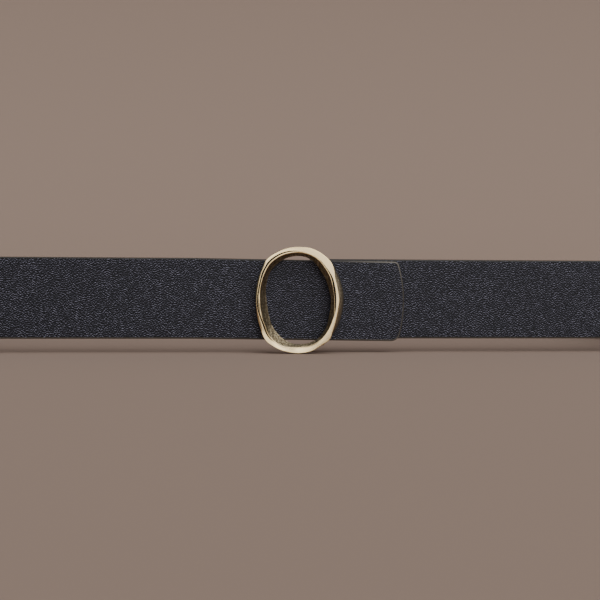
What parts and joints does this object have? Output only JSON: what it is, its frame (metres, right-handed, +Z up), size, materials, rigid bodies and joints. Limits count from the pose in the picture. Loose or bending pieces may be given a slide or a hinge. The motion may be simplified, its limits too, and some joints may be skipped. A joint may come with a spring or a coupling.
{
  "type": "leather belt with oval ring buckle",
  "caption": "Closed waist belt of black grained leather; its rounded free end passes under an oval pale gold ring buckle and lies over the strap.",
  "frame": {"origin": "bottom centre of the whole belt, on the surface that it stands on", "axes": "+X along the straight front to the free end's side, +Y back towards the wearer's rear, +Z up; the buckle faces -Y"},
  "size_m": [0.3604, 0.1476, 0.046],
  "materials": {
    "leather": "fine grained, semi-matt, painted edges",
    "pale_gold": "polished, plated in pale champagne gold",
    "steel": "plain"
  },
  "bodies": {
    "root": {"strap": "leather", "ring_buckle": "pale_gold", "fold_pin": "steel"}
  },
  "joints": []
}
